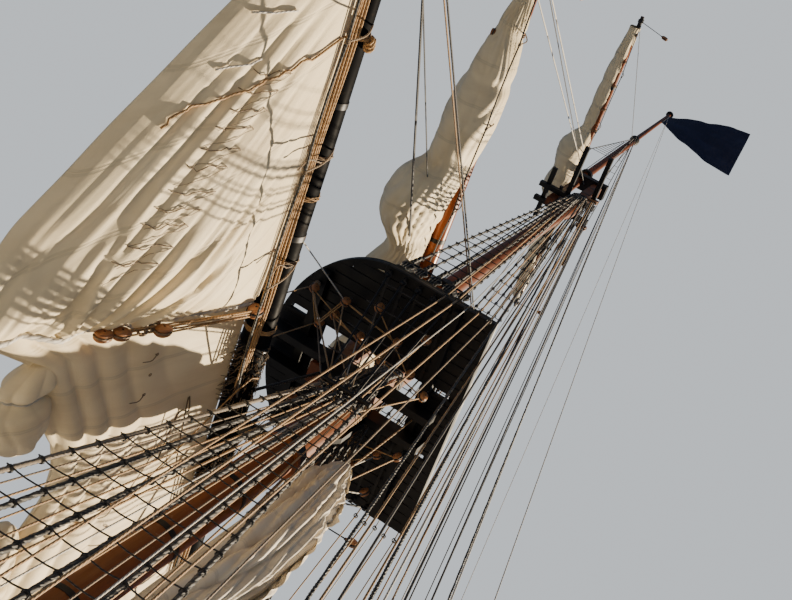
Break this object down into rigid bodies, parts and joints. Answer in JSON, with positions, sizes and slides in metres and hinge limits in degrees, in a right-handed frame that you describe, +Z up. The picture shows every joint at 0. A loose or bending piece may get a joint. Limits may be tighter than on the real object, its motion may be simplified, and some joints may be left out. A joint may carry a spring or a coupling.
{
  "type": "square-rigged sailing ship's mast",
  "caption": "Square-rigged mast from the deck up: lower mast, topmast and topgallant mast with top, shrouds, hoisting and bracing yards and clewed-up sails.",
  "frame": {"origin": "centre of the lower mast's flat heel face, at deck level", "axes": "+X to starboard, +Y forward, +Z up along the lower mast"},
  "size_m": [14.8, 7.1465, 34.8948],
  "materials": {
    "varnished_pine": "gloss varnish over pine",
    "bright_spar": "gloss varnish, orange-brown",
    "black_paint": "black paint on wood, satin",
    "tarred_rope": "tarred hemp, rough",
    "ironwork": "black painted ironwork, satin",
    "canvas": "cream flax canvas, matt",
    "mast_coat_canvas": "painted canvas, matt",
    "bunting": "dark navy wool bunting, matt"
  },
  "bodies": {
    "root": {"lower_mast": "varnished_pine", "mast_coat": "mast_coat_canvas", "topmast": "varnished_pine", "topmast_fid": "ironwork", "topgallant_mast": "varnished_pine", "topgallant_fid": "ironwork", "truck": "black_paint", "crosstree_fore": "black_paint", "crosstree_aft": "black_paint", "top_platform": "black_paint", "lower_cap": "black_paint", "topmast_crosstrees": "black_paint", "topmast_cap": "black_paint", "mast_cheek_port": "black_paint", "trestletree_port": "black_paint", "channel_port": "black_paint", "lower_shrouds_port": "tarred_rope", "futtock_shrouds_port": "ironwork", "topmast_shrouds_port": "tarred_rope", "topgallant_shrouds_port": "tarred_rope", "topmast_backstays_port": "tarred_rope", "topgallant_backstay_port": "tarred_rope", "mast_cheek_starboard": "black_paint", "trestletree_starboard": "black_paint", "channel_starboard": "black_paint", "lower_shrouds_starboard": "tarred_rope", "futtock_shrouds_starboard": "ironwork", "topmast_shrouds_starboard": "tarred_rope", "topgallant_shrouds_starboard": "tarred_rope", "topmast_backstays_starboard": "tarred_rope", "topgallant_backstay_starboard": "tarred_rope", "brailed_sail": "canvas", "flag": "bunting"},
    "lower_yard": {"lower_yard_truss": "ironwork", "lower_yard": "black_paint", "course_sail": "canvas"},
    "topsail_parrel": {"topsail_parrel": "ironwork"},
    "topsail_yard": {"topsail_truss": "ironwork", "topsail_yard": "bright_spar", "topsail_sail": "canvas"},
    "topgallant_parrel": {"topgallant_parrel": "ironwork"},
    "topgallant_yard": {"topgallant_truss": "ironwork", "topgallant_yard": "bright_spar", "topgallant_sail": "canvas"}
  },
  "joints": [
    {"name": "lower_yard_brace", "type": "hinge", "parent": "root", "child": "lower_yard", "pos_m": [0, 0, 12.95], "axis": [0, 0, 1], "range_deg": [-35, 35]},
    {"name": "topsail_hoist", "type": "slide", "parent": "root", "child": "topsail_parrel", "axis": [0, 0.014, 0.9999], "range_m": [0, 5.2]},
    {"name": "topsail_brace", "type": "hinge", "parent": "topsail_parrel", "child": "topsail_yard", "pos_m": [0, 0.6846, 18.5996], "axis": [0, 0.014, 0.9999], "range_deg": [-20, 20]},
    {"name": "topgallant_hoist", "type": "slide", "parent": "root", "child": "topgallant_parrel", "axis": [0, 0.045, 0.999], "range_m": [0, 2.9]},
    {"name": "topgallant_brace", "type": "hinge", "parent": "topgallant_parrel", "child": "topgallant_yard", "pos_m": [0, 1.25766, 26.99747], "axis": [0, 0.045, 0.999], "range_deg": [-20, 20]}
  ]
}
